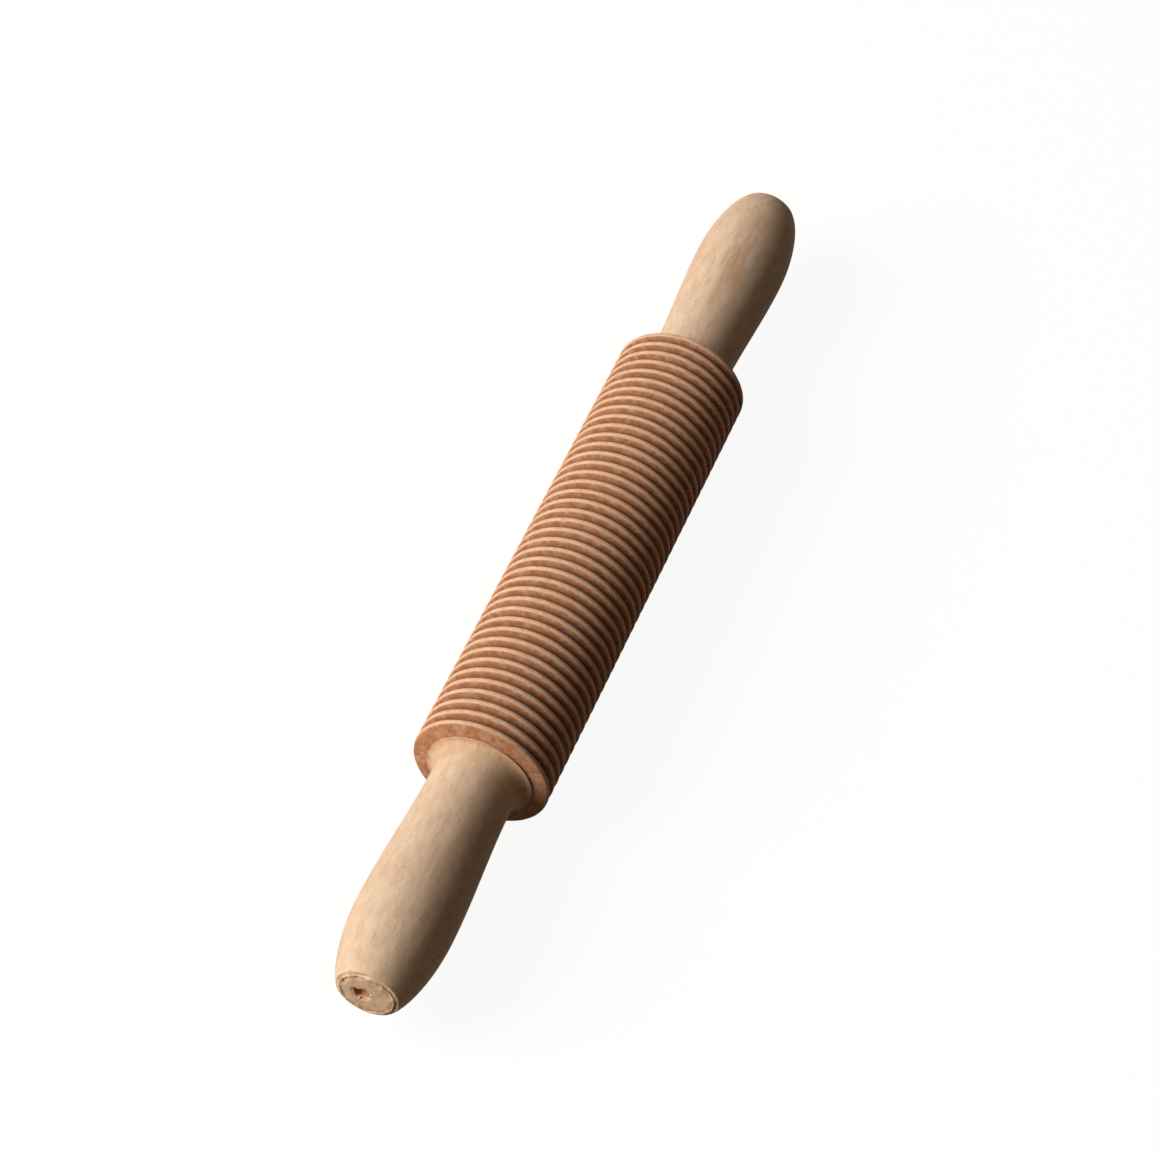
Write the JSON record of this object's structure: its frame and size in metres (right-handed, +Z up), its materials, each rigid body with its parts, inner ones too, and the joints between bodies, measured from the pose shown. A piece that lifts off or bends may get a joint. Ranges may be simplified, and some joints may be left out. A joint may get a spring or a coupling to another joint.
{
  "type": "pasta cutter rolling pin",
  "caption": "Ridged wooden rolling pin that cuts rolled dough into strands: a grooved barrel spinning on a through axle between two turned handles.",
  "frame": {"origin": "under the middle of the pin, on the surface that the barrel's ridges lie on", "axes": "+X along the pin to the far handle, +Z up, +Y to the left when looking along +X"},
  "size_m": [0.322, 0.041, 0.041],
  "materials": {
    "barrel_beech": "raw turned beech, reddish",
    "handle_beech": "raw sanded beech, pale",
    "axle_steel": "drawn bright steel",
    "bush_nylon": "natural nylon",
    "insert_brass": "machined brass"
  },
  "bodies": {
    "grip": {"handle_left": "handle_beech", "handle_right": "handle_beech", "axle_rod": "axle_steel", "insert_left": "insert_brass", "insert_right": "insert_brass", "washer_left": "axle_steel", "washer_right": "axle_steel"},
    "barrel": {"cutter_barrel": "barrel_beech", "bush_left": "bush_nylon", "bush_right": "bush_nylon"}
  },
  "joints": [
    {"name": "barrel_spin", "type": "hinge", "parent": "grip", "child": "barrel", "pos_m": [0, 0, 0.0205], "axis": [1, 0, 0], "continuous": true}
  ]
}
